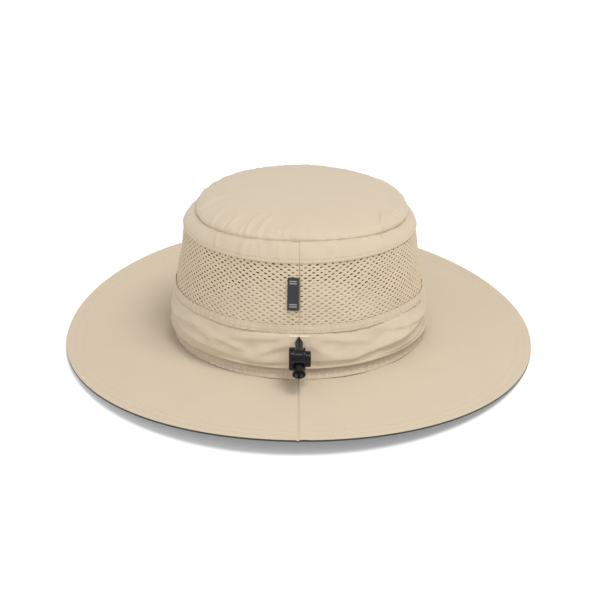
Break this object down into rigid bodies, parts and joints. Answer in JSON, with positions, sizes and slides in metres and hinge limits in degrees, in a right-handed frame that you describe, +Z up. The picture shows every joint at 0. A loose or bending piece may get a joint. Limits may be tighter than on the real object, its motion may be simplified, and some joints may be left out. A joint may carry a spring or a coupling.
{
  "type": "boonie hat",
  "caption": "Wide-brim sun hat with an oval crown, mesh vents, a lined stiffened brim, and a drawcord with a spring lock at the back.",
  "frame": {"origin": "on the surface that the brim stands on, under the middle of the hat", "axes": "+Z up, +Y towards the front of the hat, +X towards the wearer's right"},
  "size_m": [0.324, 0.364, 0.1149],
  "materials": {
    "shell_fabric": "plain woven nylon, matt",
    "vent_mesh": "open polyester mesh",
    "underbrim_fabric": "plain woven nylon, matt",
    "interlining": "stiff nonwoven",
    "sweatband_knit": "brushed wicking knit",
    "binding_tape": "twill tape",
    "label_weave": "satin woven label",
    "care_label_satin": "blank satin label",
    "cord_black": "braided round cord",
    "lock_plastic": "moulded acetal, low sheen",
    "spring_steel": "bright spring wire",
    "sewing_thread": "polyester thread"
  },
  "bodies": {
    "hat": {"crown_tip": "shell_fabric", "upper_band": "shell_fabric", "mesh_panel_left": "vent_mesh", "mesh_panel_right": "vent_mesh", "front_panel": "shell_fabric", "mesh_tape": "shell_fabric", "lower_band": "shell_fabric", "base_band": "shell_fabric", "sweatband": "sweatband_knit", "tip_seam_binding": "binding_tape", "back_seam_binding": "binding_tape", "care_label": "care_label_satin", "brim_underside": "underbrim_fabric", "brim_core": "interlining", "brim_top": "shell_fabric", "drawcord": "cord_black", "exit_bartack": "sewing_thread"},
    "cord_tail": {"strand_left": "cord_black", "strand_right": "cord_black", "cord_end": "lock_plastic", "cord_knots": "cord_black"},
    "lock": {"lock_body": "lock_plastic", "lock_spring": "spring_steel"},
    "button": {"lock_plunger": "lock_plastic"},
    "flag_label": {"woven_label": "label_weave"}
  },
  "joints": [
    {"name": "tail_swing", "type": "hinge", "parent": "hat", "child": "cord_tail", "pos_m": [0.0003, -0.1023, 0.041], "axis": [-1, 0, 0], "range_deg": [0, 85]},
    {"name": "lock_slide", "type": "slide", "parent": "cord_tail", "child": "lock", "axis": [0, 0.9121, 0.4099], "range_m": [0, 0.0024]},
    {"name": "button_press", "type": "slide", "parent": "lock", "child": "button", "axis": [-1, 0, 0], "range_m": [0, 0.0016], "stiffness_N_per_m": 600, "springref_m": -0.001, "deforming": ["lock_spring"]},
    {"name": "label_flip", "type": "hinge", "parent": "hat", "child": "flag_label", "pos_m": [-0.0001, -0.0972, 0.0614], "axis": [0, 0.226, 0.9741], "range_deg": [0, 160], "stiffness_Nm_per_rad": 0.0002}
  ]
}
